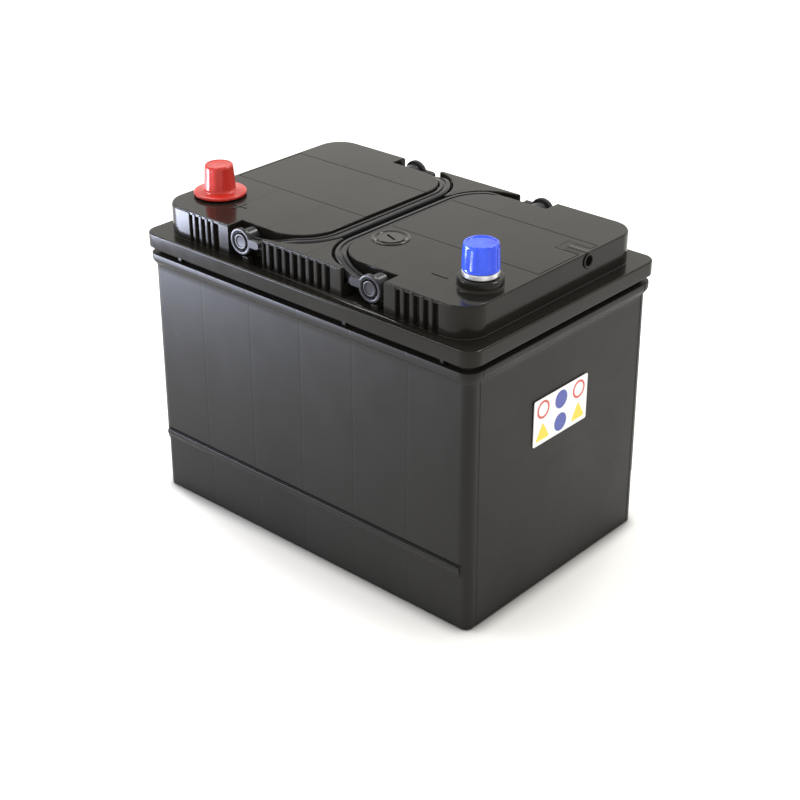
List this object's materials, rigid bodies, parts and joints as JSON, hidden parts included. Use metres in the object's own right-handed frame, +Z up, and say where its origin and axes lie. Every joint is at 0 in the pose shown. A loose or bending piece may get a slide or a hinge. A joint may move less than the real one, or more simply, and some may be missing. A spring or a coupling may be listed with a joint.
{
  "type": "deep cycle battery",
  "caption": "Boxed lead-acid battery with a flanged lid, fold-flat carrying handles, tapered posts under colour-coded caps, a vent and a charge indicator.",
  "frame": {"origin": "middle of the case's footprint, on the face it stands on", "axes": "+X along the long side, from the red terminal to the blue one; -Y towards the long side nearest the terminals; +Z up"},
  "size_m": [0.26, 0.173, 0.2228],
  "materials": {
    "black_plastic": "glossy moulded polypropylene",
    "handle_plastic": "glossy moulded polypropylene",
    "red_plastic": "glossy soft cap",
    "blue_plastic": "glossy soft cap",
    "lead": "cast and turned lead alloy",
    "positive_paste": "matt pasted plate",
    "negative_paste": "matt pasted plate",
    "separator_sheet": "matt microporous sheet",
    "rubber": "matt",
    "clear_plastic": "clear moulding",
    "green_plastic": "smooth",
    "porous_disc": "sintered",
    "label_film": "printed film with plain shapes"
  },
  "bodies": {
    "case": {"container": "black_plastic", "lid": "black_plastic", "left_cover_panel": "black_plastic", "right_cover_panel": "black_plastic", "left_front_pivot_pin": "handle_plastic", "left_rear_pivot_pin": "handle_plastic", "right_front_pivot_pin": "handle_plastic", "right_rear_pivot_pin": "handle_plastic", "positive_bush": "lead", "negative_bush": "lead", "positive_post": "lead", "negative_post": "lead", "indicator_plug": "black_plastic", "indicator_seal": "rubber", "indicator_rod": "clear_plastic", "float_cage": "clear_plastic", "vent_port": "black_plastic", "flame_arrestor": "porous_disc", "side_label": "label_film", "positive_group_1": "positive_paste", "negative_group_1": "negative_paste", "separator_1": "separator_sheet", "positive_group_2": "positive_paste", "negative_group_2": "negative_paste", "separator_2": "separator_sheet", "positive_group_3": "positive_paste", "negative_group_3": "negative_paste", "separator_3": "separator_sheet", "positive_group_4": "positive_paste", "negative_group_4": "negative_paste", "separator_4": "separator_sheet", "positive_group_5": "positive_paste", "negative_group_5": "negative_paste", "separator_5": "separator_sheet", "positive_group_6": "positive_paste", "negative_group_6": "negative_paste", "separator_6": "separator_sheet", "cell_link_1": "lead", "cell_link_2": "lead", "cell_link_3": "lead", "cell_link_4": "lead", "cell_link_5": "lead"},
    "left_handle": {"left_handle": "handle_plastic"},
    "right_handle": {"right_handle": "handle_plastic"},
    "positive_cap": {"positive_cap": "red_plastic"},
    "negative_cap": {"negative_cap": "blue_plastic"},
    "float_ball": {"float_ball": "green_plastic"}
  },
  "joints": [
    {"name": "left_handle_pivot", "type": "hinge", "parent": "case", "child": "left_handle", "pos_m": [-0.051, 0, 0.1907], "axis": [0, -1, 0], "range_deg": [0, 100]},
    {"name": "right_handle_pivot", "type": "hinge", "parent": "case", "child": "right_handle", "pos_m": [0.051, 0, 0.1907], "axis": [0, 1, 0], "range_deg": [0, 100]},
    {"name": "positive_cap_pull", "type": "slide", "parent": "case", "child": "positive_cap", "axis": [0, 0, 1], "range_m": [0, 0.03]},
    {"name": "negative_cap_pull", "type": "slide", "parent": "case", "child": "negative_cap", "axis": [0, 0, 1], "range_m": [0, 0.03]},
    {"name": "float_ball_rise", "type": "slide", "parent": "case", "child": "float_ball", "axis": [0, 0, 1], "range_m": [0, 0.0045]}
  ]
}
